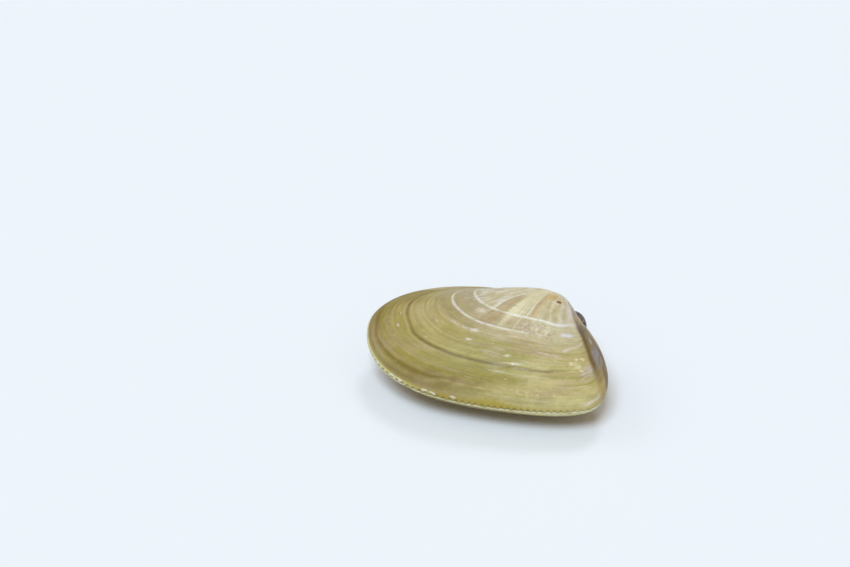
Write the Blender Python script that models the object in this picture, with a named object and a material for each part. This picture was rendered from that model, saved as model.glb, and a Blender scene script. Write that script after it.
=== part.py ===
"""A closed coquina clam shell, 34 mm long: two hollow valves joined behind the beaks by a horny
ligament, lying on its right valve the way it settles on a table. Metres, +Z up."""

import math

import bmesh
import bpy
import numpy as np
from mathutils import Vector
from mathutils.bvhtree import BVHTree
from mathutils.geometry import interpolate_bezier

MM = 0.001

# The shell frame: hinge point at the origin, +X to the short rear end, +Y to the back, where the
# beaks are, and +Z out of the left valve. The valves meet in the plane z = 0.
# Each knot of the margin: x, y, heading in degrees, then the reach of its handles before and after.
MARGIN_KNOTS = (
    (0.0, 0.0, 176.4, 0.0, 13.3),  # hinge point, leaving along the front slope
    (-22.9, -11.1, 270.0, 5.5, 3.3),  # front end
    (-10.5, -20.1, 0.0, 9.3, 7.8),  # lowest point of the belly
    (10.3, -14.5, 72.5, 3.4, 6.1),  # rear corner
    (0.0, 0.0, 155.6, 5.0, 0.0),  # back at the hinge, up the rear slope
)
KNOT_STEPS = 18  # straight pieces between two knots

# Growth: the shell of an earlier stage is the same outline, smaller, swung open about the hinge.
HINGE_LINE = math.radians(-3.85)  # direction of the hinge line from +X
SPIRAL = 1.104  # how fast the radius falls off with the swing
OPEN_LIMIT = math.radians(121.0)  # swing of the very first shell
LIP_SWING = math.radians(6.7)  # extra swing that blunts the lip
LIP_SHARE = 0.03  # share of the growth that the lip takes
YOUNG_LENGTH = 0.394  # how much shorter for its height the first shell is
RINGS = 15
RING_CROWDING = 1.8  # crowds the rings towards the lip, which bends most
FIRST_STAGE = 0.03

VALVE_GAP = 0.3 * MM
WALL = 0.9 * MM
CAVITY_CENTRE = Vector((-5.5, -13.5)) * MM
CAVITY_SHARE = 0.93  # cavity mouth against the outline, before the wall is taken off
CAVITY_RINGS = 7
CAVITY_SKIP = 2  # the cavity takes every second point of the outline
CAVITY_OVERCUT = 1.0 * MM

LIGAMENT_SPAN = (0.7 * MM, 5.0 * MM)  # from and to, along the hinge line behind the beaks
LIGAMENT_THICKNESS = 0.7 * MM
LIGAMENT_HALF_WIDTH = 0.95 * MM
LIGAMENT_SEAT = 0.35 * MM  # how high it stands over the two rear slopes
LIGAMENT_STATIONS = 16
LIGAMENT_STRIPS = 10  # straight pieces across its back, and as many across its underside

REST_TILT = math.radians(12.6)  # the back of the shell is raised
REST_PITCH = math.radians(2.8)  # the front end is raised
REST_FLAT = 0.05 * MM  # depth of the small flat that the right valve lies on
SHARP_EDGE = math.radians(40.0)


def clear_scene():
    for item in list(bpy.data.objects):
        bpy.data.objects.remove(item, do_unlink=True)


def new_collection(name):
    collection = bpy.data.collections.new(name)
    bpy.context.scene.collection.children.link(collection)
    return collection


def new_material(name, colour, roughness):
    material = bpy.data.materials.new(name)
    material.use_nodes = True
    shader = material.node_tree.nodes["Principled BSDF"]
    shader.inputs["Base Color"].default_value = (*colour, 1.0)
    shader.inputs["Roughness"].default_value = roughness
    shader.inputs["Metallic"].default_value = 0.0
    return material


def new_solid(name, collection, points, faces, material=None):
    """An object from points and faces, with its normals made to point out."""
    shape = bmesh.new()
    made = [shape.verts.new(point) for point in points]
    for face in faces:
        shape.faces.new([made[index] for index in face])
    bmesh.ops.recalc_face_normals(shape, faces=shape.faces)
    mesh = bpy.data.meshes.new(name)
    shape.to_mesh(mesh)
    shape.free()
    if material:
        mesh.materials.append(material)
        mesh.shade_smooth()
        mesh.set_sharp_from_angle(angle=SHARP_EDGE)
    solid = bpy.data.objects.new(name, mesh)
    collection.objects.link(solid)
    return solid


def new_cutter(name, collection, points, faces):
    cutter = new_solid(name, collection, points, faces)
    cutter.hide_render = True
    cutter.display_type = "WIRE"
    return cutter


def cut(target, name, cutter):
    modifier = target.modifiers.new(name, "BOOLEAN")
    modifier.operation = "DIFFERENCE"
    modifier.object = cutter


def strip(first, second, count, closed):
    """The faces between two rows of points that start at these indices."""
    steps = range(count if closed else count - 1)
    after = [(step + 1) % count for step in steps]
    return [(first + a, first + b, second + b, second + a) for a, b in zip(steps, after)]


def fan(tip, first, count, closed):
    """The faces between one point and a row of points."""
    steps = range(count if closed else count - 1)
    return [(tip, first + step, first + (step + 1) % count) for step in steps]


def margin_outline():
    """The margin as a loop of points that starts at the hinge, without the hinge point itself."""
    outline = []
    for knot, following in zip(MARGIN_KNOTS, MARGIN_KNOTS[1:]):
        ends = []
        for x, y, heading, before, after in (knot, following):
            place = Vector((x, y)) * MM
            way = Vector((math.cos(math.radians(heading)), math.sin(math.radians(heading))))
            ends.append((place, place - way * before * MM, place + way * after * MM))
        (start, _, leaving), (end, arriving, _) = ends
        outline += interpolate_bezier(start, leaving, arriving, end, KNOT_STEPS + 1)[1:]
    return outline[:-1]


def hinge_coordinates(place):
    """How far a point of the margin is along the hinge line, and how far from it."""
    x, y = place
    cosine, sine = math.cos(HINGE_LINE), math.sin(HINGE_LINE)
    return x * cosine + y * sine, x * sine - y * cosine


def from_hinge_line(along, distance, angle):
    """The point that far along the hinge line and from it, swung up out of the margin plane."""
    cosine, sine = math.cos(HINGE_LINE), math.sin(HINGE_LINE)
    out = distance * math.cos(angle)
    return Vector(
        (along * cosine + out * sine, along * sine - out * cosine, distance * math.sin(angle))
    )


def growth(stage):
    """The swing of the shell of an earlier stage, from 0 to 1, and its length for its height."""
    angle = OPEN_LIMIT * (1.0 - stage ** (1.0 / (SPIRAL * OPEN_LIMIT)))
    angle += LIP_SWING * (1.0 - math.exp((stage - 1.0) / LIP_SHARE))
    return angle, 1.0 - YOUNG_LENGTH * (1.0 - stage)


def growth_ring(outline, stage):
    """The margin at an earlier stage, where it now lies on the valve."""
    angle, length = growth(stage)
    ring = []
    for place in outline:
        along, distance = hinge_coordinates(place)
        ring.append(from_hinge_line(along * stage * length, distance * stage, angle))
    return ring


def growth_dome(outline):
    """Points and faces of the open dome: the growth rings lofted, and closed at the hinge point."""
    count = len(outline)
    points = [Vector((0.0, 0.0, 0.0))]
    faces = []
    for ring in range(RINGS):
        share = (ring / (RINGS - 1)) ** RING_CROWDING
        points += growth_ring(outline, 1.0 - share * (1.0 - FIRST_STAGE))
        outer = 1 + ring * count
        inner = outer + count
        if ring < RINGS - 1:
            faces += strip(outer, inner, count, closed=False)
            faces += [(0, outer, inner), (outer + count - 1, 0, inner + count - 1)]
    return points, faces + fan(0, outer, count, closed=False)


def cavity_bowl(outline, dome_points, dome_faces):
    """The space for the animal: the dome brought in by the wall, with a skirt below the margin."""
    dome = BVHTree.FromPolygons(dome_points, dome_faces)
    mouth = [CAVITY_CENTRE.lerp(place, CAVITY_SHARE) for place in outline[::CAVITY_SKIP]]
    count = len(mouth)

    def under_the_wall(place):
        up = Vector((0.0, 0.0, 1.0))
        hit, normal, _, _ = dome.ray_cast(Vector((*place, 0.0)) - up, up)
        return hit - normal * math.copysign(WALL, normal.z)

    points = [under_the_wall(CAVITY_CENTRE)]
    for ring in range(1, CAVITY_RINGS + 1):
        share = math.sin(math.pi / 2 * ring / CAVITY_RINGS)
        points += [under_the_wall(CAVITY_CENTRE.lerp(place, share)) for place in mouth]
    points += [Vector((place.x, place.y, -CAVITY_OVERCUT)) for place in points[-count:]]
    faces = fan(0, 1, count, closed=True)
    for ring in range(CAVITY_RINGS):
        faces += strip(1 + ring * count, 1 + (ring + 1) * count, count, closed=True)
    return points, [*faces, tuple(range(len(points) - count, len(points)))]


def make_valve(name, side, outline, parts, cutters, material):
    """One hollow valve and its cavity cutter. side is 1 for the left valve, -1 for the right."""

    def placed(points):
        return [Vector((p.x, p.y, (p.z + VALVE_GAP / 2) * side)) for p in points]

    dome_points, dome_faces = growth_dome(outline)
    margin_face = tuple(range(len(outline) + 1))
    valve = new_solid(name, parts, placed(dome_points), [*dome_faces, margin_face], material)
    bowl_points, bowl_faces = cavity_bowl(outline, dome_points, dome_faces)
    bowl = new_cutter(name + "_cavity", cutters, placed(bowl_points), bowl_faces)
    cut(valve, "cavity", bowl)
    return valve, bowl


def rear_slopes(outline, along):
    """Places aside of the margin plane, and how far below the hinge line the valve is there."""
    margin = [hinge_coordinates(place) for place in outline[: -KNOT_STEPS : -1]]
    places, distances = zip((0.0, 0.0), *margin)
    asides, depths = [0.0], [float(np.interp(along, places, distances))]
    stage = 1.0
    while along < places[-1] * stage * growth(stage)[1] and stage > 0.1:
        angle, length = growth(stage)
        distance = stage * float(np.interp(along / (stage * length), places, distances))
        asides.append(VALVE_GAP / 2 + distance * math.sin(angle))
        depths.append(distance * math.cos(angle))
        stage -= 0.01
    return asides, depths


def make_ligament(outline, parts, material):
    """The ligament: a loft behind the beaks, seated in the groove between the two rear slopes."""
    start, end = LIGAMENT_SPAN
    cosine, sine = math.cos(HINGE_LINE), math.sin(HINGE_LINE)
    points = []
    for station in range(LIGAMENT_STATIONS + 1):
        share = station / LIGAMENT_STATIONS
        along = start + (end - start) * share
        swell = math.sin(math.pi * share) ** 0.5
        asides, depths = rear_slopes(outline, along)
        section = [0.0]
        if station not in (0, LIGAMENT_STATIONS):
            section = [math.pi * step / LIGAMENT_STRIPS for step in range(2 * LIGAMENT_STRIPS)]
        for turn in section:
            aside = LIGAMENT_HALF_WIDTH * swell * math.cos(turn)
            depth = float(np.interp(abs(aside), asides, depths)) - LIGAMENT_SEAT
            depth -= LIGAMENT_THICKNESS * swell * max(math.sin(turn), 0.0)
            points.append(
                Vector((along * cosine + depth * sine, along * sine - depth * cosine, aside))
            )
    count = 2 * LIGAMENT_STRIPS
    faces = fan(0, 1, count, closed=True)
    for station in range(LIGAMENT_STATIONS - 2):
        faces += strip(1 + station * count, 1 + (station + 1) * count, count, closed=True)
    faces += fan(len(points) - 1, len(points) - 1 - count, count, closed=True)
    return new_solid("ligament", parts, points, faces, material)


def corners(pieces):
    """The lowest and highest corner of the pieces as they now stand."""
    graph = bpy.context.evaluated_depsgraph_get()
    places = []
    for piece in pieces:
        evaluated = piece.evaluated_get(graph)
        places += [evaluated.matrix_world @ vertex.co for vertex in evaluated.data.vertices]
    low = Vector([min(place[axis] for place in places) for axis in range(3)])
    high = Vector([max(place[axis] for place in places) for axis in range(3)])
    return low, high


def lay_on_table(pieces, bowls, lying_valve, cutters):
    """Turns the shell as it settles, stands it on z = 0 and cuts the small flat it lies on."""
    pose = bpy.data.objects.new("resting_pose", None)
    bpy.context.scene.collection.objects.link(pose)
    pose.rotation_euler = (REST_TILT, REST_PITCH, 0.0)
    for piece in [*pieces, *bowls]:
        piece.parent = pose
    bpy.context.view_layer.update()
    low, high = corners(pieces)
    middle = (low + high) / 2
    pose.location = (-middle.x, -middle.y, -low.z - REST_FLAT)
    bpy.context.view_layer.update()

    bpy.ops.mesh.primitive_cube_add(size=2 * (high - low).length)
    table = bpy.context.object
    table.name = "table_cutter"
    table.location.z = -(high - low).length
    table.hide_render = True
    table.display_type = "WIRE"
    table.users_collection[0].objects.unlink(table)
    cutters.objects.link(table)
    cut(lying_valve, "resting flat", table)


def main():
    clear_scene()
    parts = new_collection("coquina_clam_shell")
    cutters = new_collection("cutters")
    outline = margin_outline()
    olive = new_material("left_valve_shell", (0.44, 0.38, 0.17), 0.3)
    pale = new_material("right_valve_shell", (0.48, 0.42, 0.22), 0.3)
    horn = new_material("ligament_horn", (0.06, 0.035, 0.02), 0.35)
    left, left_bowl = make_valve("left_valve", 1, outline, parts, cutters, olive)
    right, right_bowl = make_valve("right_valve", -1, outline, parts, cutters, pale)
    ligament = make_ligament(outline, parts, horn)
    lay_on_table((left, right, ligament), (left_bowl, right_bowl), right, cutters)


main()
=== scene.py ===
"""The looks of a closed coquina clam shell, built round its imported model: two ringed valves with
interlocking lips, the horny ligament behind their beaks, and the pale table they lie on."""

import math

import bpy
import numpy as np
from mathutils import Euler, Matrix, Vector
from mathutils.bvhtree import BVHTree
from mathutils.geometry import interpolate_bezier


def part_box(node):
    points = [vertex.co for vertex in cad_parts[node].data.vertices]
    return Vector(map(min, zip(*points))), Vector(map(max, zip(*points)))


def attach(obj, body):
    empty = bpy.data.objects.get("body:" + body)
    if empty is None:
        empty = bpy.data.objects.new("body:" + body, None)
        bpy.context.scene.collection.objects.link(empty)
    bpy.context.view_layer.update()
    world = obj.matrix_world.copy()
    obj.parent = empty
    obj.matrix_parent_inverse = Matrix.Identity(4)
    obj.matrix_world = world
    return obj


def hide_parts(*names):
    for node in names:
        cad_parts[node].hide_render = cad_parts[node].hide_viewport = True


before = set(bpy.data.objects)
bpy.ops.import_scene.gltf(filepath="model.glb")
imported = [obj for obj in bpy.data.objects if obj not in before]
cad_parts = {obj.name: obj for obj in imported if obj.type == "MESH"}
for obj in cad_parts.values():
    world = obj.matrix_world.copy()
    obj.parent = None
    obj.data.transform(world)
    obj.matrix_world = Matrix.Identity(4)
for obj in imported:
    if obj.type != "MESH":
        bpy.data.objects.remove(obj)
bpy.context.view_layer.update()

# ---------------------------------------------------------------------------------------------
# The left valve, which lies on top: one curved plate of chalky shell under a thin glossy skin.
# It grew by new shell laid along its margin only, so each older margin is still there as a ring,
# smaller and swung open about the hinge behind the beak. Its lip has fine teeth.

MM = 0.001

# The margin, from the hinge round the front end and the belly back to the hinge. Each knot:
# x, y, heading in degrees, then the reach of its handles before and after.
MARGIN_KNOTS = (
    (0.0, 0.0, 176.4, 0.0, 13.3),  # hinge point, leaving along the front slope
    (-22.9, -11.1, 270.0, 5.5, 3.3),  # front end
    (-10.5, -20.1, 0.0, 9.3, 7.8),  # lowest point of the belly
    (10.3, -14.5, 72.5, 3.4, 6.1),  # rear corner
    (0.0, 0.0, 155.6, 5.0, 0.0),  # back at the hinge, up the rear slope
)
TEETH = 100  # fine teeth that the whole margin would hold
TOOTH_STEPS = 5  # points along the margin for each tooth
STRETCH_POINTS = 200  # finer points that each stretch between knots is first drawn with
HINGE_LINE = math.radians(-3.85)  # its slope in the plane between the valves
SPIRAL = 1.104  # share of its size that the shell gains for each radian of swing, near the lip
OPEN_LIMIT = math.radians(121.0)  # swing of the very first shell
LIP_SWING = math.radians(6.7)  # extra swing gained just inside the lip, which turns down there
LIP_SHARE = 0.03  # share of the growth that this takes
YOUNG_LENGTH = 0.394  # how much shorter for its height the first shell was
YOUNGEST = 0.03  # smallest stage that is made, the tip of the beak

VALVE_GAP = 0.3 * MM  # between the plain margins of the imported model
TILT = math.radians(12.6)  # how the shell lies: its hinge side up
PITCH = math.radians(2.8)  # and its rear end down
LIE_RINGS = 200  # rings that find where it touches the table


def margin_points():
    """The margin as evenly spaced points, with as many to each tooth."""
    line = []
    for knot, following in zip(MARGIN_KNOTS, MARGIN_KNOTS[1:]):
        ends = []
        for x, y, heading, before, after in (knot, following):
            place = Vector((x, y)) * MM
            way = Vector((math.cos(math.radians(heading)), math.sin(math.radians(heading))))
            ends.append((place, place - way * before * MM, place + way * after * MM))
        (start, _, leaving), (end, arriving, _) = ends
        line += interpolate_bezier(start, leaving, arriving, end, STRETCH_POINTS)[:-1]
    line = np.array(line + [end])
    travelled = np.concatenate([[0.0], np.cumsum(np.linalg.norm(np.diff(line, axis=0), axis=1))])
    stops = np.linspace(0.0, travelled[-1], TEETH * TOOTH_STEPS + 1)[:-1]
    return np.column_stack([np.interp(stops, travelled, line[:, axis]) for axis in (0, 1)])


def hinge_coordinates(place):
    """How far points of the margin are along the hinge line, and how far from it."""
    cosine, sine = math.cos(HINGE_LINE), math.sin(HINGE_LINE)
    return place[..., 0] * cosine + place[..., 1] * sine, place[..., 0] * sine - place[..., 1] * cosine


def from_hinge_line(along, distance, angle):
    """Points swung about the hinge line, away from the plane between the valves."""
    cosine, sine = math.cos(HINGE_LINE), math.sin(HINGE_LINE)
    out = distance * np.cos(angle)
    return np.stack(
        [along * cosine + out * sine, along * sine - out * cosine, distance * np.sin(angle)], axis=-1
    )


def growth(stage):
    """The swing of the shell of an earlier stage, from 0 to 1, and its length for its height."""
    angle = OPEN_LIMIT * (1.0 - stage ** (1.0 / (SPIRAL * OPEN_LIMIT)))
    angle = angle + LIP_SWING * (1.0 - np.exp((stage - 1.0) / LIP_SHARE))
    return angle, 1.0 - YOUNG_LENGTH * (1.0 - stage)


def grown(margin, stages):
    """Where the margin of each stage now lies on the valve: an array of rings of points."""
    along, distance = hinge_coordinates(margin)
    angle, length = growth(stages)
    return from_hinge_line(
        along * (stages * length)[:, None], distance * stages[:, None], angle[:, None]
    )


margin = margin_points()
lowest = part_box("left_valve")[0]
turn = Euler((TILT, PITCH, 0.0)).to_matrix()
rings = grown(margin, np.linspace(YOUNGEST, 1.0, LIE_RINGS)) + np.array([0.0, 0.0, VALVE_GAP / 2])
hinge_point = lowest - Vector((rings.reshape(-1, 3) @ np.array(turn).T).min(axis=0))
LIE = Matrix.Translation(hinge_point) @ turn.to_4x4()

RINGS = 172
RING_CROWDING = 1.35  # over 1, the rings lie closer near the lip
WALL = 0.9 * MM
CAVITY_CENTRE = np.array([-5.5, -13.5]) * MM
CAVITY_SHARE = 0.93  # width of the bowl's mouth, as a share of the margin's
BOWL_RINGS = 9
SMALLEST_RING = 0.05  # size of the last one, as a share of a step
TOOTH_HEIGHT = 0.11 * MM
TOOTH_REACH = 0.35 * MM  # how far up from the lip the teeth can be felt
LIP_GAP = 0.03 * MM  # left between the two closed lips
LIP_DIP = 0.28 * MM  # how far the closed line sinks below the plane under the belly
LIP_DIP_FADE = 1.6 * MM
LIP_ROUNDING = 0.09 * MM
LIP_ROUNDING_REACH = 0.12 * MM
SMOOTH_LIP = 0.5 * MM  # width along the lip in which the growth lines fade out
BEAK_TIP = 2.0 * MM  # reach of the beak's tip, which is left as it grew
GAP_REACH = 1.2 * MM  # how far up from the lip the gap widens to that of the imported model
LOWER_TUCK = 0.24 * MM  # how much slimmer the right valve is just under the lips
RIM = 0.45 * MM  # width of the toothed part of the rim
RAY_START = 5.0 * MM  # how far beyond the margin plane the wall is looked for from

WHITE_RINGS = (0.539, 0.641)  # stages at which growth stopped and left a white line
DARK_CHECKS = (0.846, 0.962)  # stages at which it stopped and left a dark groove
FINE_LINES = 130  # growth lines between the beak and the lip
BROAD_FOLDS = 34
FINE_RELIEF = 0.009  # heights and depths of the lines, folds, rings and grooves, in millimetres
BROAD_RELIEF = 0.014
RING_RELIEF = 0.012
GROOVE_DEPTHS = (0.012, 0.009)
RING_WIDTH = 0.006  # and the widths of the rings and the grooves, as stages
GROOVE_WIDTH = 0.0035
FINEST_RELIEF = 0.05 * MM  # height of the lines that are too fine for the mesh

# Where the shell is worn down: the depth, then the middle and the spread, as stages and around.
WORN_PLACES = (
    (0.56 * MM, 0.29, 0.12, 0.51, 0.115),  # the crown of the beak
    (0.13 * MM, 0.80, 0.13, 0.235, 0.08),  # the front slope
)

# The map that the finish is laid out on: its side, its edge, and the bowl's scale and place.
MAP_SIDE = 34.5 * MM
MAP_EDGE = 0.01
BOWL_ON_MAP = 0.6
BOWL_PLACE = np.array([-8.0, -21.5]) * MM


def smoothstep(low, high, value):
    """0 where value is below low, 1 where it is above high, and a soft step between."""
    share = np.clip((value - low) / (high - low), 0.0, 1.0)
    return share * share * (3.0 - 2.0 * share)


def uneven(seed, knots, value):
    """Smooth unevenness from -1 to 1 along a line that value runs over from 0 to 1."""
    heights = np.random.default_rng(seed).uniform(-1.0, 1.0, knots + 1)
    place = np.clip(value, 0.0, 1.0) * knots
    before = np.minimum(place.astype(int), knots - 1)
    share = place - before
    share = share * share * (3.0 - 2.0 * share)
    return heights[before] * (1.0 - share) + heights[before + 1] * share


def relief(stage, around, seed):
    """Height of the growth lines over the smooth valve."""
    blend = 0.5 + 0.5 * uneven(seed, 9, around)
    wavy = stage + 0.004 * uneven(seed + 1, 14, around)
    fine = uneven(seed + 2, FINE_LINES, wavy) * blend + uneven(seed + 3, FINE_LINES, wavy) * (1.0 - blend)
    broad = uneven(seed + 4, BROAD_FOLDS, wavy)
    height = FINE_RELIEF * fine + BROAD_RELIEF * broad
    for ring in WHITE_RINGS:
        height = height + RING_RELIEF * np.exp(-(((stage - ring) / RING_WIDTH) ** 2))
    for groove, depth in zip(DARK_CHECKS, GROOVE_DEPTHS):
        height = height - depth * np.exp(-(((stage - groove) / GROOVE_WIDTH) ** 2))
    return height * MM * smoothstep(0.05, 0.3, stage) * (1.0 - 0.7 * smoothstep(0.56, 0.68, around))


def teeth_along(margin_count):
    """The scalloped line of the closed lips, from -1 to 1, which fades out at the two ends."""
    step = np.arange(margin_count)
    wave = 2.0 * np.abs(np.sin(math.pi * (step % TOOTH_STEPS) / TOOTH_STEPS)) - 1.0
    around = step / margin_count
    return wave * smoothstep(0.36, 0.44, around) * (1.0 - smoothstep(0.735, 0.775, around))


def lip_dip(around):
    """How far the line of the lips sinks at each place along the margin."""
    belly = 1.0 - 0.72 * smoothstep(0.56, 0.70, around) - 0.28 * smoothstep(0.78, 0.84, around)
    return -LIP_DIP * smoothstep(0.34, 0.45, around) * belly


def loop_faces(rows):
    """Faces between successive closed rows of vertex numbers, with doubled corners dropped."""
    faces = []
    for row, following in zip(rows, rows[1:]):
        quads = np.column_stack([row, np.roll(row, -1), np.roll(following, -1), following])
        faces += [tuple(dict.fromkeys(quad)) for quad in quads.tolist()]
    return [face for face in faces if len(face) > 2]


def valve_outside(side, seed):
    """Rings of points from the lip to the tip of the beak, and the values that the skin reads there."""
    count = len(margin)
    share = np.linspace(0.0, 1.0, RINGS) ** RING_CROWDING
    stages = 1.0 - share * (1.0 - YOUNGEST)
    outside = grown(margin, stages)
    from_lip = np.zeros((RINGS, count))
    from_lip[1:] = np.cumsum(np.linalg.norm(np.diff(outside, axis=0), axis=2), axis=0)
    around = np.broadcast_to(np.arange(count) / count, (RINGS, count))
    stage = np.broadcast_to(stages[:, None], (RINGS, count))
    teeth = np.broadcast_to(teeth_along(count), (RINGS, count))

    across, along = np.gradient(outside, axis=1), np.gradient(outside, axis=0)
    normals = np.cross(across, along)
    normals /= np.linalg.norm(normals, axis=2, keepdims=True) + 1e-12
    normals *= np.sign(normals[RINGS // 2, count // 2, 2])
    lift = relief(stage, around, seed) * smoothstep(0.0, SMOOTH_LIP, from_lip)
    lift -= LIP_ROUNDING * (1.0 - smoothstep(0.0, LIP_ROUNDING_REACH, from_lip))
    for depth, middle, spread, middle_around, spread_around in WORN_PLACES:
        off_stage, off_around = (stage - middle) / spread, (around - middle_around) / spread_around
        lift -= depth * np.exp(-(off_stage**2) - off_around**2)
    if side < 0:
        tuck = smoothstep(0.1 * MM, 0.9 * MM, from_lip)
        tuck *= 1.0 - smoothstep(3.0 * MM, 7.0 * MM, from_lip)
        lift -= LOWER_TUCK * tuck * smoothstep(0.40, 0.47, around) * (1.0 - smoothstep(0.62, 0.74, around))
    lift *= smoothstep(0.0, BEAK_TIP, np.abs(from_lip[-1] - from_lip))
    outside = outside + normals * lift[..., None]
    outside[..., 2] = np.maximum(outside[..., 2], 0.0)
    outside[..., 2] += LIP_GAP / 2 + (VALVE_GAP - LIP_GAP) / 2 * smoothstep(0.0, GAP_REACH, from_lip)
    outside[..., 2] *= side
    outside[..., 2] += TOOTH_HEIGHT * teeth * np.exp(-from_lip / TOOTH_REACH)
    outside[..., 2] += lip_dip(around) * np.exp(-from_lip / LIP_DIP_FADE)
    outside[:, 0] = 0.0  # every ring starts at the hinge point
    return outside, {"stage": stage, "around": around, "from_lip": from_lip / MM, "tooth": teeth}


def valve_inside(outside, outer_faces, side):
    """Rings of points over the toothed rim and down the bowl, one wall under the outside."""
    lip = outside[0]
    inward = CAVITY_CENTRE - lip[:, :2]
    inward /= np.linalg.norm(inward, axis=1, keepdims=True)
    toothed = lip.copy()
    toothed[:, :2] += inward * RIM
    mouth = CAVITY_CENTRE + (margin - CAVITY_CENTRE) * CAVITY_SHARE
    sunk = lip_dip(np.arange(len(margin)) / len(margin))
    inside = [toothed, np.column_stack([mouth, side * LIP_GAP / 2 + sunk])]
    dome = BVHTree.FromPolygons(outside.reshape(-1, 3).tolist(), outer_faces)
    for ring in range(BOWL_RINGS, -1, -1):
        spread = math.sin(math.pi / 2 * max(ring, SMALLEST_RING) / BOWL_RINGS)
        row = []
        for x, y in CAVITY_CENTRE + (mouth - CAVITY_CENTRE) * spread:
            hit, normal, _, _ = dome.ray_cast(Vector((x, y, -side * RAY_START)), Vector((0, 0, side)))
            row.append(hit - normal * math.copysign(WALL, normal.z * side))
        row = np.array(row)
        row[:, 2] = side * np.maximum(row[:, 2] * side, LIP_GAP)
        inside.append(row)
    return inside


def valve_piece(name, side, seed):
    """One valve as a closed mesh: its grown outside, toothed rim and inner bowl."""
    outside, fields = valve_outside(side, seed)
    count = len(margin)
    first = RINGS * count
    rows = [np.arange(count) + ring * count for ring in range(RINGS)]
    for row in rows:
        row[0] = 0
    outer_faces = loop_faces(rows)
    inside = valve_inside(outside, outer_faces, side)
    inner_rows = [rows[0]] + [np.arange(count) + first + row * count for row in range(len(inside))]
    points = np.concatenate([outside.reshape(-1, 3), *inside])
    faces = outer_faces + loop_faces(inner_rows)
    faces.append(tuple(inner_rows[-1].tolist()))
    faces.append(tuple(rows[-1].tolist()))

    mesh = bpy.data.meshes.new(name)
    mesh.from_pydata(points.tolist(), [], faces)
    mesh.transform(LIE)
    for vertex in mesh.vertices:
        vertex.co.z = max(vertex.co.z, 0.0)
    values = {key: np.append(field, np.tile(field[0], len(inside))) for key, field in fields.items()}
    values["inside"] = np.arange(len(points)) >= first
    for key, numbers in values.items():
        attribute = mesh.attributes.new(key, "FLOAT", "POINT")
        attribute.data.foreach_set("value", numbers.astype(np.float32))
    stages = fields["stage"][:, 0]
    flat = margin[None] * (stages * growth(stages)[1])[:, None, None]
    flat = np.concatenate([flat.reshape(-1, 2), points[first:, :2] * BOWL_ON_MAP + BOWL_PLACE])
    flat = (flat - flat.min(axis=0)) / MAP_SIDE + MAP_EDGE
    bake_map = mesh.uv_layers.new(name="OFBake")
    corners = np.empty(len(mesh.loops), np.int32)
    mesh.loops.foreach_get("vertex_index", corners)
    bake_map.data.foreach_set("uv", flat[corners].astype(np.float32).ravel())
    mesh.validate()
    mesh.shade_smooth()
    piece = bpy.data.objects.new(name, mesh)
    bpy.context.scene.collection.objects.link(piece)
    bpy.context.view_layer.objects.active = piece
    piece.select_set(True)
    bpy.ops.object.mode_set(mode="EDIT")
    bpy.ops.mesh.select_all(action="SELECT")
    bpy.ops.mesh.normals_make_consistent(inside=False)
    bpy.ops.object.mode_set(mode="OBJECT")
    piece.select_set(False)
    return piece


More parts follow.
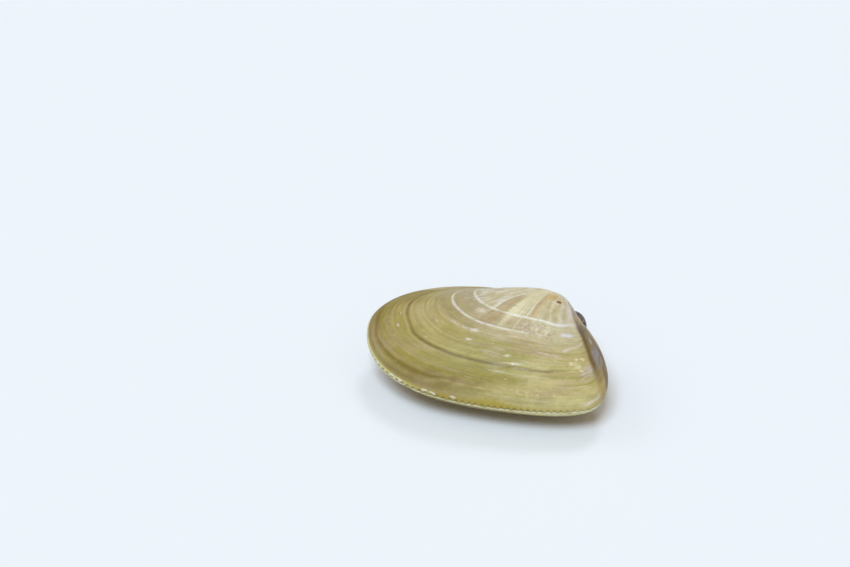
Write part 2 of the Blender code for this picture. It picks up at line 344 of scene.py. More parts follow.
class Shade:
    """A socket of a material. Arithmetic on it adds Math nodes, and node() adds any other node."""

    def __init__(self, tree, socket=None):
        self.tree = tree
        self.socket = socket

    def node(self, kind, settings=None, inputs=None, output=None):
        """Any node: its settings are set first, then the values or links of its sockets."""
        made = self.tree.nodes.new("ShaderNode" + kind)
        settings = dict(settings or {})
        stops = settings.pop("stops", None)
        for key, value in settings.items():
            setattr(made, key, value)
        if stops:
            for _ in stops[2:]:
                made.color_ramp.elements.new(0.5)
            for element, (place, tone) in zip(made.color_ramp.elements, stops):
                element.position = place
                element.color = tone
        sockets = [socket for socket in made.inputs if socket.enabled]
        for key, value in (inputs or {}).items():
            socket = sockets[key] if isinstance(key, int) else made.inputs[key]
            if isinstance(value, Shade):
                self.tree.links.new(value.socket, socket)
            else:
                socket.default_value = value
        outputs = {socket.name: socket for socket in reversed(made.outputs) if socket.enabled}
        found = list(outputs.values())[-1] if output is None and outputs else outputs.get(output)
        return Shade(self.tree, found)

    def math(self, operation, *values):
        return self.node("Math", {"operation": operation}, dict(enumerate(values)))

    def __add__(self, other):
        return self.math("ADD", self, other)

    def __sub__(self, other):
        return self.math("SUBTRACT", self, other)

    def __rsub__(self, other):
        return self.math("SUBTRACT", other, self)

    def __mul__(self, other):
        return self.math("MULTIPLY", self, other)

    __radd__ = __add__
    __rmul__ = __mul__

    def attribute(self, name):
        """A value that the mesh holds at each of its points."""
        return self.node("Attribute", {"attribute_name": name}, output="Fac")

    def place(self, x, y):
        """Two values as one place on a map."""
        return self.node("CombineXYZ", None, {0: x, 1: y})

    def noise(self, across, along, seed, detail=2.0, roughness=0.5, distortion=0.0):
        """Cloudy unevenness from 0 to 1 over this map, so many clouds to its unit each way."""
        inputs = {"Vector": self, "Location": (0.0, 0.0, seed), "Scale": (across, along, 0.0)}
        inputs = {"Vector": self.node("Mapping", None, inputs), "Scale": 1.0}
        inputs.update({"Detail": detail, "Roughness": roughness, "Distortion": distortion})
        return self.node("TexNoise", None, inputs)

    def smooth(self, low, high):
        """0 where this is below low, 1 where it is above high, and a soft step between."""
        inputs = {0: self, 1: low, 2: high}
        return self.node("MapRange", {"interpolation_type": "SMOOTHSTEP"}, inputs)

    def line(self, centre, width):
        """A soft line that is 1 at the centre and gone a width away."""
        return 1.0 - self.math("ABSOLUTE", self - centre).smooth(0.0, width)

    def band(self, low, high, soft):
        """1 between low and high, with soft edges."""
        return self.smooth(low - soft, low + soft) * (1.0 - self.smooth(high - soft, high + soft))

    def ramp(self, *stops):
        """Colours that change along this value, each given the way it looks."""
        stops = [(place, colour(*rgb)) for place, rgb in stops]
        return self.node("ValToRGB", {"stops": stops}, {0: self})

    def blend(self, below, above):
        """One colour where this mask is 0 and the other where it is 1."""
        return self.node("Mix", {"data_type": "RGBA"}, {0: self, 1: below, 2: above})

    def scaled(self, factor):
        """This colour made darker or lighter."""
        settings = {"data_type": "RGBA", "clamp_factor": False}
        return self.node("Mix", settings, {0: factor, 1: (0.0, 0.0, 0.0, 1.0), 2: self})


def colour(red, green, blue):
    """A colour given the way it looks, from 0 to 255, as the shader takes it."""

    def linear(value):
        value /= 255
        return value / 12.92 if value <= 0.04045 else ((value + 0.055) / 1.055) ** 2.4

    return (linear(red), linear(green), linear(blue), 1.0)


def new_material(name):
    """An empty material, and the shade that its nodes are added from."""
    material = bpy.data.materials.new(name)
    material.use_nodes = True
    material.node_tree.nodes.clear()
    return material, Shade(material.node_tree)


def finish_material(shade, inputs):
    """Ends a material in one plain surface with these values."""
    surface = shade.node("BsdfPrincipled", None, inputs)
    shade.node("OutputMaterial", None, {"Surface": surface})


# How the ground changes with the stage of the shell, from the beak to the lip.
FRONT_TONES = (
    (0.0, (226, 216, 180)),
    (0.35, (214, 204, 168)),
    (0.50, (199, 191, 154)),
    (0.56, (176, 164, 129)),
    (0.66, (175, 163, 116)),
    (0.70, (174, 161, 110)),
    (0.77, (184, 170, 112)),
    (0.86, (169, 156, 88)),
    (0.94, (157, 144, 76)),
    (0.98, (146, 129, 56)),
)
REAR_TONES = (
    (0.0, (224, 212, 174)),
    (0.35, (212, 201, 154)),
    (0.50, (200, 191, 148)),
    (0.58, (204, 199, 162)),
    (0.66, (199, 191, 150)),
    (0.76, (188, 176, 116)),
    (0.82, (194, 183, 120)),
    (0.86, (187, 174, 108)),
    (0.94, (198, 187, 126)),
    (0.985, (212, 203, 142)),
)
SLOPE_TONES = (
    (0.0, (168, 154, 132)),
    (0.38, (178, 166, 156)),
    (0.50, (152, 136, 120)),
    (0.60, (101, 80, 49)),
    (0.72, (136, 113, 60)),
    (0.82, (129, 110, 70)),
    (0.89, (141, 127, 86)),
    (0.96, (174, 152, 90)),
)

# Small worn marks and painted sparkles of light: around, stage, length along the margin, width across it,
# colour.
PALE = colour(226, 217, 208)
SPARKLE_CREAM = colour(232, 227, 190)
WORN_MARKS_AND_SPARKLES = (
    (0.503, 0.698, 0.018, 0.018, PALE),
    (0.509, 0.752, 0.013, 0.014, PALE),
    # a painted sparkle
    (0.607, 0.790, 0.008, 0.012, PALE),
    (0.377, 0.877, 0.008, 0.007, PALE),
    (0.346, 0.858, 0.006, 0.006, PALE),
    (0.414, 0.745, 0.008, 0.007, PALE),
    # a painted sparkle
    (0.624, 0.829, 0.005, 0.009, PALE),
    # the cream marks that follow are painted sparkles beside the ridge
    (0.751, 0.776, 0.007, 0.016, SPARKLE_CREAM),
    (0.740, 0.796, 0.007, 0.013, SPARKLE_CREAM),
    (0.766, 0.776, 0.008, 0.019, SPARKLE_CREAM),
    (0.753, 0.818, 0.007, 0.016, SPARKLE_CREAM),
    (0.757, 0.841, 0.007, 0.011, SPARKLE_CREAM),
)

# Larger faint patches: around, stage, length, width, strength, colour.
PATCHES = (
    (0.461, 0.583, 0.024, 0.030, 0.65, colour(224, 215, 192)),
    (0.511, 0.602, 0.030, 0.036, 0.50, colour(160, 136, 88)),
    (0.563, 0.603, 0.018, 0.034, 0.40, colour(164, 138, 92)),
    (0.772, 0.835, 0.018, 0.030, 0.55, colour(200, 192, 186)),
    (0.604, 0.876, 0.020, 0.012, 0.55, colour(204, 204, 176)),
    (0.575, 0.702, 0.036, 0.030, 0.40, colour(206, 192, 162)),
    (0.365, 0.765, 0.050, 0.100, 0.40, colour(196, 182, 144)),
)

# White chips in the left lip: around, length, height above the lip in millimetres.
CHIPS = (
    (0.410, 0.004, 0.25),
    (0.445, 0.004, 0.35),
    (0.459, 0.006, 0.40),
    (0.503, 0.007, 0.45),
    (0.517, 0.007, 0.35),
    (0.549, 0.006, 0.50),
)


def upper_lip(ground, around, from_lip, tooth, belly, chipped, mottle, clump):
    """Chipped white in front, then yellow, with dark olive between the teeth: dirt and painted shade."""
    pale = 1 - from_lip.smooth(0.3, 1.1)
    ground = (pale * belly * 0.6).blend(ground, colour(186, 172, 92))
    golden_lip = around.band(0.43, 0.67, 0.04) * (1 - (from_lip + mottle).smooth(1.0, 1.5))
    ground = (golden_lip * 0.6).blend(ground, colour(172, 152, 34))
    golden_lip = around.band(0.585, 0.632, 0.014) * (1 - (from_lip + mottle).smooth(1.3, 2.1))
    ground = (golden_lip * 0.65).blend(ground, colour(176, 156, 30))
    front_edge = (1 - around.smooth(0.44, 0.52)) * (1 - from_lip.smooth(0.32, 0.80))
    ground = (front_edge * around.smooth(0.1, 0.3) * 0.9).blend(ground, colour(222, 220, 158))
    chips = (chipped - 0.06 * around.smooth(0.30, 0.40)).smooth(0.60, 0.66) * (1 - from_lip.smooth(0.4, 0.8))
    chips = chips * (1 - around.smooth(0.50, 0.54))
    for place, length, height in CHIPS:
        chip = (around + (mottle - 0.5) * 0.010).line(place, length * 1.5)
        chip = chip * (from_lip + (clump - 0.5) * 0.4).line(height, 0.30)
        chips = chips + (chip * (0.5 + chipped)).smooth(0.20, 0.62)
    ground = (chips * around.smooth(0.1, 0.3) * 0.75).blend(ground, colour(232, 226, 218))
    # dark olive between the teeth: dirt in the notches, with painted shade in their recesses
    notch = (tooth - (mottle - 0.5) * 1.2).smooth(-0.1, 0.8) * (1 - from_lip.smooth(0.14, 0.52))
    notch = notch * (1 - 0.35 * around.smooth(0.64, 0.70)) * (1 - 0.9 * around.smooth(0.725, 0.755))
    ground = (notch * (1 - chips) * 0.95).blend(ground, colour(136, 114, 6))
    return ground


def valve_skin(name, seed, lip):
    """The skin of a valve. lip is what paints the band along its margin, which differs on the two."""
    material, shade = new_material(name)
    stage, around = shade.attribute("stage"), shade.attribute("around")
    from_lip, tooth = shade.attribute("from_lip"), shade.attribute("tooth")
    skin = shade.place(around, stage)
    age = stage + (skin.noise(9, 3, seed) - 0.5) * 0.010

    # The ground darkens from cream at the beak to olive, and stays paler towards the rear.
    front, rear = age.ramp(*FRONT_TONES), age.ramp(*REAR_TONES)
    slant = around + (skin.noise(6, 5, seed + 2) - 0.5) * 0.12
    ground = slant.smooth(0.50, 0.68).blend(front, rear)
    # painted shadow: darker olive along the upper front edge
    edge = around.band(0.236, 0.32, 0.02) * age.smooth(0.76, 0.88)
    ground = (edge * 0.8).blend(ground, colour(146, 126, 58))
    front_end = (1 - around.smooth(0.36, 0.43)) * age.smooth(0.90, 0.97)
    ground = (front_end * 0.9).blend(ground, colour(124, 104, 22))
    front_slope = (1 - around.smooth(0.225, 0.245)) * age.smooth(0.60, 0.72)
    ground = (front_slope * 0.7).blend(ground, colour(196, 190, 152))

    # Cloudy patches of greener, pinker, paler and darker skin.
    green = skin.noise(16, 12, seed + 3, detail=4).smooth(0.46, 0.70)
    ground = (green * age.smooth(0.6, 0.75) * 0.55).blend(ground, colour(156, 146, 74))
    olive = slant.band(0.45, 0.65, 0.03) * age.band(0.72, 0.93, 0.02)
    ground = (olive * (0.3 + 0.48 * slant.smooth(0.46, 0.56))).blend(ground, colour(150, 140, 34))
    blush = slant.band(0.60, 0.69, 0.02) * age.band(0.670, 0.755, 0.015)
    ground = (blush * 0.5).blend(ground, colour(182, 160, 120))
    pink = skin.noise(13, 10, seed + 4, detail=4).smooth(0.50, 0.74)
    ground = (pink * 0.5).blend(ground, colour(184, 162, 132))
    cloud = shade.place(around, stage + 1.8 * around).noise(44, 11, seed + 17, detail=4, roughness=0.55)
    worn_young = (1 - age.smooth(0.50, 0.60)) * (1 - slant.band(0.47, 0.66, 0.02))
    ground = ((1 - cloud.smooth(0.36, 0.50)) * worn_young * 0.55).blend(ground, colour(184, 172, 132))
    ground = (cloud.smooth(0.46, 0.64) * worn_young * 0.8).blend(ground, colour(222, 220, 208))

    # Rays run out from the beak over the young shell, and fade beyond the inner white ring.
    young = 1 - age.smooth(0.52, 0.56)
    fading = 1 - age.smooth(0.54, 0.70)
    spread = around + (skin.noise(20, 9, seed + 5) - 0.5) * 0.010
    rays = skin.noise(64, 1.2, seed + 6, detail=3, distortion=0.35)
    sunny = spread.smooth(0.45, 0.50) * fading
    sunny = sunny * (1 - 0.6 * spread.smooth(0.64, 0.68))
    ground = (rays.smooth(0.50, 0.62) * sunny * 0.45).blend(ground, colour(232, 225, 196))
    ground = ((1 - rays.smooth(0.38, 0.48)) * sunny * 0.4).blend(ground, colour(176, 152, 110))
    tan_ray = spread.band(0.487, 0.527, 0.005) * age.smooth(0.30, 0.42) * fading
    ground = (tan_ray * 0.7).blend(ground, colour(178, 156, 116))
    tan_ray = spread.band(0.607, 0.632, 0.005) * age.smooth(0.28, 0.36) * young
    ground = (tan_ray * 0.6).blend(ground, colour(192, 166, 124))
    orange = spread.band(0.612, 0.69, 0.016) * stage.band(0.25, 0.325, 0.02)
    ground = (orange * 0.7).blend(ground, colour(208, 170, 106))
    early = 1 - age.smooth(0.25, 0.50)
    cream_start = (spread + 0.03 * early).smooth(0.520, 0.545)
    cream_end = (spread - 0.016 * early).smooth(0.570, 0.592)
    cream_ray = cream_start * (1 - cream_end) * fading * (0.25 + 0.4 * rays + 0.35 * cloud)
    cream_ray = cream_ray * (1 - 0.5 * age.smooth(0.53, 0.57))
    ground = cream_ray.blend(ground, colour(230, 225, 186))
    for place, width in ((0.480, 0.010), (0.600, 0.007)):
        white_ray = spread.line(place, width) * age.smooth(0.28, 0.36) * young
        ground = (white_ray * 0.65).blend(ground, colour(232, 230, 210))

    # Growth lines of every width, finer and closer than the relief, and broken pale streaks.
    fine = skin.noise(6, 260, seed + 7, detail=4, roughness=0.7)
    broad = skin.noise(5, 60, seed + 8, detail=3, roughness=0.6)
    threads = skin.noise(600, 9, seed + 9, detail=2)
    mottle = skin.noise(120, 90, seed + 18, detail=3, roughness=0.65)
    tint = skin.noise(4, 52, seed + 22, detail=2)
    mature = age.smooth(0.48, 0.66)
    ground = (tint.smooth(0.50, 0.66) * mature * 0.4).blend(ground, colour(182, 158, 118))
    greener = (1 - tint.smooth(0.34, 0.50)) * age.smooth(0.62, 0.70)
    ground = (greener * 0.4).blend(ground, colour(150, 140, 58))
    lines = skin.noise(3, 36, seed + 23, detail=3, roughness=0.6)
    patches = skin.noise(34, 26, seed + 24, detail=3, roughness=0.55)
    thin = skin.noise(8, 130, seed + 30, detail=2, roughness=0.6)
    grain = skin.noise(340, 230, seed + 31, detail=2)
    calm = 1 - 0.55 * slant.smooth(0.54, 0.68)
    growth_lines = (0.38 * fine + 0.30 * thin + 0.32 * broad + 0.42 * lines - 0.71) * calm
    ray_lines = skin.noise(200, 5, seed + 28, detail=3, distortion=0.6) - 0.5
    ray_lines = ray_lines * (1 - 0.5 * around.smooth(0.64, 0.68))
    growth_lines = growth_lines * (0.35 + 0.65 * mature) + ray_lines * (1 - mature) * 0.5
    ground = ground.scaled(growth_lines + 0.46 * mottle + 0.48 * patches + 0.53)
    ground = ground.scaled(0.87 + 0.10 * threads + 0.16 * grain)
    streaks = skin.noise(26, 110, seed + 10, detail=3)
    streaks = streaks.smooth(0.58, 0.70) * slant.smooth(0.46, 0.62)
    ground = (streaks * 0.4).blend(ground, colour(220, 212, 178))
    blotch = skin.noise(52, 60, seed + 19, detail=3).smooth(0.64, 0.76)
    blotch = blotch * age.band(0.64, 0.93, 0.03) * slant.band(0.38, 0.77, 0.05)
    ground = (blotch * 0.45).blend(ground, colour(220, 208, 192))

    # Pale curled wrinkles where the rays break up between the white rings, and near the lip.
    curl = skin.noise(62, 44, seed + 21, detail=1)
    clump = skin.noise(46, 30, seed + 25, detail=3)
    aside = (around - 0.663) * 66 + (mottle - 0.5) * 1.1
    below = (stage - 0.617) * 42 + (clump - 0.5) * 1.3
    hoop = (aside * aside + below * below).line(1.0, 0.6) * (0.3 + 0.5 * clump.smooth(0.36, 0.52))
    around_hoop = (aside * aside + below * below).smooth(0.6, 2.4)
    curls = 1 - (1 - curl.line(0.5, 0.07) * (0.25 + 0.75 * around_hoop)) * (1 - hoop)
    tangle = around.band(0.60, 0.70, 0.012) * age.band(0.568, 0.655, 0.014)
    tangle = tangle + around.band(0.447, 0.478, 0.008) * age.band(0.570, 0.602, 0.012)
    ground = (tangle * (1 - clump.smooth(0.40, 0.56)) * 0.6).blend(ground, colour(172, 148, 116))
    ground = (curls * tangle * (0.35 + 0.4 * mottle + 0.25 * hoop)).blend(ground, colour(234, 226, 208))
    bundles = around.band(0.625, 0.705, 0.02) * age.band(0.935, 0.970, 0.012)
    ground = (curls * bundles * mottle.smooth(0.40, 0.62) * 0.7).blend(ground, colour(222, 212, 160))

    # Growth stopped twice and left white rings, then left fainter lines and dark checks. One pale
    # band among the lines is painted highlight.
    worn = skin.noise(30, 20, seed + 11, detail=3)
    broken = skin.noise(70, 30, seed + 27, detail=3).smooth(0.36, 0.60)
    bright = 0.35 + 0.4 * worn.smooth(0.38, 0.56) + 0.25 * broken
    ring_colour = skin.noise(26, 9, seed + 29).smooth(0.40, 0.60)
    ring_colour = ring_colour.blend(colour(228, 232, 206), colour(236, 228, 222))
    swing = 0.006 * around.line(0.56, 0.15) + 0.014 * around.line(0.705, 0.05)
    swing = swing - 0.008 * (1 - around.smooth(0.36, 0.45))
    inner = (age - swing).line(WHITE_RINGS[0], 0.012) * around.band(0.27, 0.765, 0.03)
    ground = (inner * bright * 0.95).blend(ground, ring_colour)
    inner = (age - swing).line(WHITE_RINGS[0], 0.018) * around.band(0.685, 0.760, 0.012)
    ground = (inner * bright * 0.9).blend(ground, colour(230, 226, 228))
    inner = (age - swing).line(WHITE_RINGS[0], 0.0135) * around.band(0.545, 0.70, 0.02)
    ground = (inner * (0.45 + 0.5 * broken)).blend(ground, colour(238, 236, 222))
    swing = 0.010 * around.line(0.56, 0.20) - 0.005
    outer = (age - swing).line(WHITE_RINGS[1], 0.0105) * around.band(0.24, 0.62, 0.04)
    ground = (outer * bright * 0.9).blend(ground, ring_colour)
    arched = age + 0.020 * around.line(0.625, 0.085)
    pinkish, greenish, yellowish = colour(220, 208, 198), colour(206, 201, 150), colour(192, 184, 104)
    for height, place, width, low, high, strength, line_colour in (
        (arched, 0.694, 0.010, 0.54, 0.70, 0.32, pinkish),
        (age, 0.700, 0.010, 0.43, 0.49, 0.6, pinkish),
        (age - 0.45 * (around - 0.67), 0.742, 0.009, 0.664, 0.722, 0.8, pinkish),
        (stage, 0.824, 0.013, 0.615, 0.695, 0.65, greenish),
        (stage, 0.826, 0.010, 0.440, 0.560, 0.5, yellowish),
        (stage, 0.879, 0.008, 0.590, 0.690, 0.6, greenish),
        (stage, 0.700, 0.010, 0.715, 0.755, 0.4, greenish),
        # the next band is painted highlight across the lower ridge
        (stage + 0.36 * (around - 0.77), 0.857, 0.010, 0.750, 0.790, 0.6, pinkish),
    ):
        line = (height + (mottle - 0.5) * 0.010).line(place, width) * around.band(low, high, 0.014)
        ground = (line * (0.3 + 0.7 * broken) * strength).blend(ground, line_colour)
    patchy = skin.noise(11, 3, seed + 20, detail=2).smooth(0.34, 0.56)
    checked = stage + 0.012 * (1 - around.band(0.40, 0.705, 0.02)) + (mottle - 0.5) * 0.004
    checked = checked + 0.003 * (1 - around.smooth(0.48, 0.52))
    late = stage + 0.018 * around.smooth(0.49, 0.56) + 0.006 * (1 - around.smooth(0.34, 0.38))
    late = late + (mottle - 0.5) * 0.008
    for height, place, width, strength, last in (
        (age, 0.757, 0.006, 0.35, 0.60),
        (checked, DARK_CHECKS[0], 0.0130, 1.0, 0.69),
        (age, 0.885, 0.006, 0.3, 0.60),
        (late, DARK_CHECKS[1], 0.010, 0.80, 0.50),
    ):
        check = height.line(place, width) * (1 - 0.9 * around.smooth(last, last + 0.05))
        check = check * (0.5 + 0.3 * patchy + 0.2 * broken)
        ground = (check * strength).blend(ground, colour(116, 98, 12))
        after = height.line(place + 0.014, 0.008) * (1 - slant.smooth(0.45, 0.6))
        ground = (after * strength * 0.3).blend(ground, colour(198, 186, 128))
    stained = around.band(0.44, 0.575, 0.03) * age.band(0.935, 0.985, 0.012)
    ground = (stained * (1 - clump.smooth(0.34, 0.60)) * 0.55).blend(ground, colour(136, 110, 56))

    # Painted highlights beside the ridge, and one smooth lilac patch of painted reflection.
    # a pale streak of painted highlight, running up to the ridge
    slanting_highlight = (age + 0.8 * around).line(1.30, 0.016) * around.band(0.724, 0.778, 0.008)
    ground = (slanting_highlight * bright * 0.85).blend(ground, colour(226, 218, 202))
    # a band of painted highlight along the top of the ridge
    ridge_highlight = around.band(0.738, 0.766, 0.010) * stage.band(0.16, 0.55, 0.03)
    ground = (ridge_highlight * (0.4 + 0.6 * cloud) * 0.75).blend(ground, colour(220, 214, 208))
    # painted sparkles lower down by the ridge, then a lilac painted sheen below them
    highlight_breakup = skin.noise(70, 96, seed + 26, detail=2)
    painted_highlight_area = around.band(0.736, 0.762, 0.008) * age.band(0.775, 0.845, 0.015)
    ground = (highlight_breakup.smooth(0.52, 0.62) * painted_highlight_area * 0.4).blend(ground, colour(236, 230, 188))
    painted_highlight_area = around.band(0.752, 0.784, 0.010) * age.band(0.84, 0.90, 0.018)
    ground = (highlight_breakup.smooth(0.40, 0.56) * painted_highlight_area * 0.5).blend(ground, colour(206, 198, 194))
    # a smooth lilac patch of painted reflection
    reflection_patch = (stage + 0.006 * (mottle - 0.5)).band(0.609, 0.630, 0.007)
    reflection_patch = (around + 0.01 * (clump - 0.5)).band(0.718, 0.752, 0.007) * reflection_patch
    ground = (reflection_patch * 0.9).blend(ground, colour(220, 220, 232))
    # a streak of painted highlight where the ridge meets the lip
    corner = (stage + 0.36 * (around - 0.756) + 0.006 * (mottle - 0.5)).line(0.989, 0.009)
    corner = corner * around.band(0.750, 0.790, 0.006)
    ground = (corner * (0.5 + 0.45 * around.line(0.757, 0.012))).blend(ground, colour(236, 228, 218))

    # Behind the ridge the rear slope is lilac near the beak, brown and blue-grey lower down, the blue-grey
    # partly painted sheen.
    ridge = around - 0.010 * stage.smooth(0.50, 0.80) - 0.006 * stage.band(0.60, 0.78, 0.04)
    ridge = ridge + (fine - 0.5) * 0.006
    slope = ridge.smooth(0.764, 0.780) * stage.smooth(0.12, 0.35)
    streaky = skin.noise(26, 44, seed + 12, detail=3, roughness=0.6)
    behind = age.ramp(*SLOPE_TONES)
    ground = (slope * 0.92).blend(ground, behind.scaled(0.55 + 0.9 * streaky))
    brown = (around + (streaky - 0.5) * 0.012).line(0.789, 0.013) * stage.band(0.58, 0.87, 0.04)
    ground = (brown * 0.75).blend(ground, colour(104, 78, 36))
    # blue-grey skin, partly a painted sheen
    blue = around.band(0.800, 0.834, 0.008) * age.band(0.76, 0.90, 0.03)
    ground = (blue * streaky.smooth(0.34, 0.55) * 0.8).blend(ground, colour(152, 150, 166))
    umber = colour(112, 86, 46)
    outer_brown = around.band(0.836, 0.860, 0.006) * stage.smooth(0.45, 0.60)
    ground = (outer_brown * (0.5 + 0.35 * stage.smooth(0.7, 0.9))).blend(ground, umber)
    outer_brown = (around + 0.1 * (stage - 0.94)).smooth(0.806, 0.812) * stage.smooth(0.90, 0.93)
    ground = (outer_brown * 0.8).blend(ground, umber)
    glint = (around + 0.004 * (clump - 0.5)).line(0.8205, 0.0055) * stage.band(0.706, 0.752, 0.008)
    ground = (glint * 0.9).blend(ground, colour(208, 214, 228))
    golden = (slant + 0.02 * stage).smooth(0.868, 0.93) * stage.smooth(0.25, 0.45)
    ground = (golden * 0.7).blend(ground, colour(168, 144, 78))
    golden_rim = (around + 0.085 * (1 - stage.smooth(0.44, 0.74))).smooth(0.860, 0.870)
    golden_rim = golden_rim * stage.smooth(0.45, 0.52) * (1 - stage.smooth(0.82, 0.90))
    ground = (golden_rim * 0.75).blend(ground, colour(186, 158, 84))

    # The lip, and painted shade in the crease where the two valves meet.
    belly = 1 - slope
    chipped = shade.place(around, from_lip).noise(130, 2.4, seed + 13, detail=2)
    ground = lip(ground, around, from_lip, tooth, belly, chipped, mottle, clump)
    # painted shade in the crease between the lips
    crease = (1 - from_lip.smooth(0.0, 0.08)) * tooth.math("ABSOLUTE", tooth).smooth(0.0, 0.1)
    ground = (crease * 0.6).blend(ground, colour(120, 106, 18))

    # Small pale flecks, worn marks and painted sparkles of light, and one dark spot beside the beak.
    fleck = skin.noise(90, 70, seed + 14, detail=2).smooth(0.72, 0.80)
    ground = (fleck * 0.55).blend(ground, colour(230, 220, 208))
    for mark_around, mark_stage, length, width, mark_colour in WORN_MARKS_AND_SPARKLES:
        mark = (around + (mottle - 0.5) * 0.020).line(mark_around, length)
        mark = mark * (stage + (clump - 0.5) * 0.030).line(mark_stage, width)
        ground = (mark.smooth(0.02, 0.9) * 0.7).blend(ground, mark_colour)
    for patch_around, patch_stage, length, width, strength, patch_colour in PATCHES:
        patch = (around + (clump - 0.5) * 0.012).line(patch_around, length)
        patch = patch * (stage + (mottle - 0.5) * 0.016).line(patch_stage, width)
        ground = (patch * strength * (0.7 + 0.6 * cloud)).blend(ground, patch_colour)
    spot = (around + (mottle - 0.5) * 0.01).line(0.703, 0.023) * stage.line(0.340, 0.022)
    ground = (spot.smooth(0.08, 0.45) * 0.95).blend(ground, colour(120, 78, 38))

    inside = shade.attribute("inside")
    ground = inside.blend(ground, colour(226, 220, 204))

    wrinkles = skin.noise(60, 210, seed + 15, detail=3, roughness=0.6)
    height = (fine * 0.5 + thin * 0.4 + broad * 0.8 + wrinkles * 0.4) * calm
    height = height + threads * 0.2 + curls * tangle * 0.4
    bump = {"Strength": 0.8, "Distance": FINEST_RELIEF, "Height": height}
    glossy = skin.noise(24, 60, seed + 16, detail=3).smooth(0.48, 0.64)
    finish_material(
        shade,
        {
            "Base Color": ground,
            "Roughness": 0.36 + 0.24 * worn,
            "Coat Weight": glossy * (0.08 + 0.20 * slant.smooth(0.52, 0.62)),
            "Coat Roughness": 0.18,
            "Normal": shade.node("Bump", None, bump),
        },
    )
    return material


left_valve = valve_piece("left_valve_shell", 1, seed=11)
left_valve.data.materials.append(valve_skin("left_valve_skin", 3.0, upper_lip))
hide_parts("left_valve")
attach(left_valve, "root")

# ---------------------------------------------------------------------------------------------
# The right valve, which the shell lies on: the mirror of the left one, of the same chalky shell
# under the same skin. Its lip shows paler beside the teeth of the left one, and locks into them.


def lower_lip(ground, around, from_lip, tooth, belly, chipped, mottle, clump):
    """A pale worn edge, painted shade on the skin towards the table, and white chips where the two lips
    meet.
    """
    # painted shade on the valve's underside towards the table
    table_shade = belly * from_lip.smooth(1.0, 1.6)
    ground = (table_shade * 0.8).blend(ground, colour(128, 108, 56))
    pale = 1 - (from_lip + (chipped - 0.5) * 1.2).smooth(0.85, 1.3)
    ground = (pale * belly * 0.85).blend(ground, colour(214, 214, 158))
    worn_lip = (chipped + 0.08 * (1 - around.smooth(0.46, 0.52))).smooth(0.50, 0.62)
    worn_lip = worn_lip * (1 - from_lip.smooth(0.5, 0.9))
    for place, length in ((0.607, 0.005), (0.624, 0.007)):
        worn_lip = worn_lip + (around + (mottle - 0.5) * 0.006).line(place, length) * from_lip.line(0.3, 0.5)
    ground = (worn_lip.smooth(0.0, 1.0) * belly * 0.8).blend(ground, colour(240, 240, 224))
    joint = (1 - chipped.smooth(0.36, 0.46)) * (1 - from_lip.smooth(0.5, 0.9))
    ground = (joint * belly * 0.5).blend(ground, colour(156, 146, 84))
    return ground


right_valve = valve_piece("right_valve_shell", -1, seed=41)
right_valve.data.materials.append(valve_skin("right_valve_skin", 23.0, lower_lip))
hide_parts("right_valve")
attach(right_valve, "root")

# ---------------------------------------------------------------------------------------------
# The ligament: a short dark band of horny fibres, which holds the two valves together and
# bulges out of the groove behind the beaks. It dried with fine cracks and paler bands across it;
# its pale patches are partly those bands and partly painted highlights.

LIGAMENT_SPAN = (1.9 * MM, 5.25 * MM)
LIGAMENT_THICKNESS = 1.1 * MM
LIGAMENT_HALF_WIDTH = 1.15 * MM
LIGAMENT_SINK = 0.05 * MM  # how deep its edges lie in the valves
LIGAMENT_STATIONS = 60
LIGAMENT_STRIPS = 24
CRACKS = 0.08 * MM
HORN = colour(36, 24, 20)
# pale horn, partly painted highlight
PALE_HORN_AND_SHEEN = colour(146, 126, 124)


def rear_slopes(along):
    """Places aside of the margin plane, and how far below the hinge line the valve is there."""
    places, distances = hinge_coordinates(margin[len(margin) * 4 // 5 :])
    places, distances = np.append(places, 0.0)[::-1], np.append(distances, 0.0)[::-1]
    stages = np.arange(1.0, 0.1, -0.01)
    angle, length = growth(stages)
    reached = along / (stages * length)
    distance = stages * np.interp(reached, places, distances)
    known = reached <= places.max()
    asides = np.append(0.0, distance * np.sin(angle) + VALVE_GAP / 2)
    return asides[: known.sum() + 1], np.append(distance[0], distance * np.cos(angle))[: known.sum() + 1]


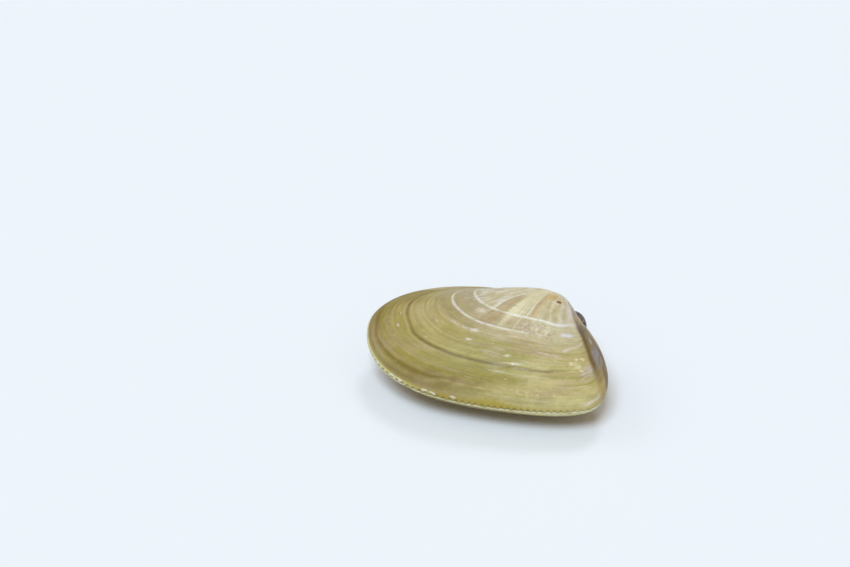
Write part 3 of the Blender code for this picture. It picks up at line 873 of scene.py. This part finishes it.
def ligament_piece():
    """A closed band that follows the rear slopes of both valves and swells between its two ends."""
    cosine, sine = math.cos(HINGE_LINE), math.sin(HINGE_LINE)
    count = 2 * LIGAMENT_STRIPS
    points = []
    for station in range(1, LIGAMENT_STATIONS):
        share = station / LIGAMENT_STATIONS
        along = LIGAMENT_SPAN[0] + (LIGAMENT_SPAN[1] - LIGAMENT_SPAN[0]) * share
        swell = math.sin(math.pi * share**1.5) ** 0.5
        asides, depths = rear_slopes(along)
        for step in range(count):
            turned = math.pi * step / LIGAMENT_STRIPS
            aside = LIGAMENT_HALF_WIDTH * swell * math.cos(turned)
            depth = np.interp(abs(aside), asides, depths) + LIGAMENT_SINK
            depth -= LIGAMENT_THICKNESS * swell * max(math.sin(turned), 0.0)
            points.append((along * cosine + depth * sine, along * sine - depth * cosine, aside))
    rows = [np.arange(count) + row * count for row in range(LIGAMENT_STATIONS - 1)]
    faces = loop_faces(rows) + [tuple(rows[0][::-1].tolist()), tuple(rows[-1].tolist())]
    mesh = bpy.data.meshes.new("ligament_band")
    mesh.from_pydata(points, [], faces)
    mesh.transform(LIE)
    across = mesh.attributes.new("across", "FLOAT", "POINT")
    length = mesh.attributes.new("length", "FLOAT", "POINT")
    sides = np.cos(np.arange(count) * math.pi / LIGAMENT_STRIPS)
    across.data.foreach_set("value", np.tile(sides, len(rows)))
    length.data.foreach_set("value", np.repeat(np.linspace(0, 1, len(rows)), count))
    mesh.shade_smooth()
    piece = bpy.data.objects.new("ligament_band", mesh)
    bpy.context.scene.collection.objects.link(piece)
    return piece


ligament = ligament_piece()
horn, shade = new_material("ligament_horn_fibres")
across, length = shade.attribute("across"), shade.attribute("length")
band = shade.place(across, length)
fibres = band.noise(20, 3, 0.0, detail=3, roughness=0.6)
bands = band.noise(2.5, 9, 4.0, detail=3)
# paler patches of horn, partly painted highlights
tone = (fibres * 0.45 + bands * 0.55).smooth(0.40, 0.66)
finish_material(
    shade,
    {
        "Base Color": tone.blend(HORN, PALE_HORN_AND_SHEEN),
        "Roughness": 0.16 + 0.25 * fibres,
        "Normal": shade.node("Bump", None, {"Strength": 0.7, "Distance": CRACKS, "Height": fibres + bands}),
    },
)
ligament.data.materials.append(horn)
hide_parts("ligament")
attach(ligament, "root")

# ---------------------------------------------------------------------------------------------
# The table: smooth pale card, lit softly from above and a little from the sides, with the
# camera looking down on the lower lip.

TABLE_SIDE = 3.0  # metres
CARD = colour(240, 246, 252)
BACKDROP = colour(237, 242, 248)
ROOM_TINT = (1.10, 0.885, 0.64, 1.0)
ROOM_LEVEL = 0.35

bpy.ops.mesh.primitive_plane_add(size=TABLE_SIDE)
table = bpy.context.object
table.name = "table_top"
card, shade = new_material("pale_table")
finish_material(shade, {"Base Color": CARD, "Specular IOR Level": 0.0})
table.data.materials.append(card)

world = bpy.data.worlds.new("soft_room")
bpy.context.scene.world = world
world.use_nodes = True
shade = Shade(world.node_tree)
world.node_tree.nodes.clear()
seen = shade.node("LightPath", output="Is Camera Ray")
room = shade.node("Background", None, {"Color": ROOM_TINT, "Strength": ROOM_LEVEL})
backdrop = shade.node("Background", None, {"Color": BACKDROP, "Strength": 1.0})
both = shade.node("MixShader", None, {0: seen, 1: room, 2: backdrop})
shade.node("OutputWorld", None, {"Surface": both})


def soft_sun(name, azimuth, elevation, width, level, tint):
    """A wide, far light, with its angles in degrees. Its level is the light it lays on the table."""
    azimuth, elevation = math.radians(azimuth), math.radians(elevation)
    flat = math.cos(elevation)
    way = Vector((math.sin(azimuth) * flat, -math.cos(azimuth) * flat, math.sin(elevation)))
    lamp = bpy.data.lights.new(name, "SUN")
    lamp.angle = math.radians(width)
    lamp.energy = level * math.pi / way.z
    lamp.color = tint
    holder = bpy.data.objects.new(name, lamp)
    holder.rotation_euler = (-way).to_track_quat("-Z", "Y").to_euler()
    bpy.context.scene.collection.objects.link(holder)


soft_sun("overhead_softbox", -5.0, 63.5, 26.0, 0.524, (0.735, 0.878, 1.045))
soft_sun("rear_window", 180.0, 60.0, 16.0, 0.125, (0.90, 0.95, 1.0))
soft_sun("front_lamp", 14.0, 62.0, 9.0, 0.05, (1.0, 0.98, 0.92))
soft_sun("left_window", -90.0, 45.0, 26.0, 0.045, (0.93, 0.95, 1.0))

VIEW_AZIMUTH = math.radians(19.9)
VIEW_ELEVATION = math.radians(37.0)
CAMERA_DISTANCE = 270.2 * MM  # from the hinge point, along the view
CAMERA_ASIDE = -17.85 * MM  # and across it, so that the shell lies low and to the right
CAMERA_UP = 2.48 * MM

forward = Vector(
    (
        -math.sin(VIEW_AZIMUTH) * math.cos(VIEW_ELEVATION),
        math.cos(VIEW_AZIMUTH) * math.cos(VIEW_ELEVATION),
        -math.sin(VIEW_ELEVATION),
    )
)
right = Vector((math.cos(VIEW_AZIMUTH), math.sin(VIEW_AZIMUTH), 0.0))
up = right.cross(forward)
camera = bpy.data.objects.new("camera", bpy.data.cameras.new("camera"))
camera.data.lens = 85.0
camera.data.sensor_width = 36.0
camera.data.clip_start = 0.01
camera.location = hinge_point - forward * CAMERA_DISTANCE + right * CAMERA_ASIDE + up * CAMERA_UP
camera.rotation_euler = forward.to_track_quat("-Z", "Y").to_euler()
bpy.context.scene.collection.objects.link(camera)
bpy.context.scene.camera = camera
bpy.context.scene.view_settings.view_transform = "Standard"
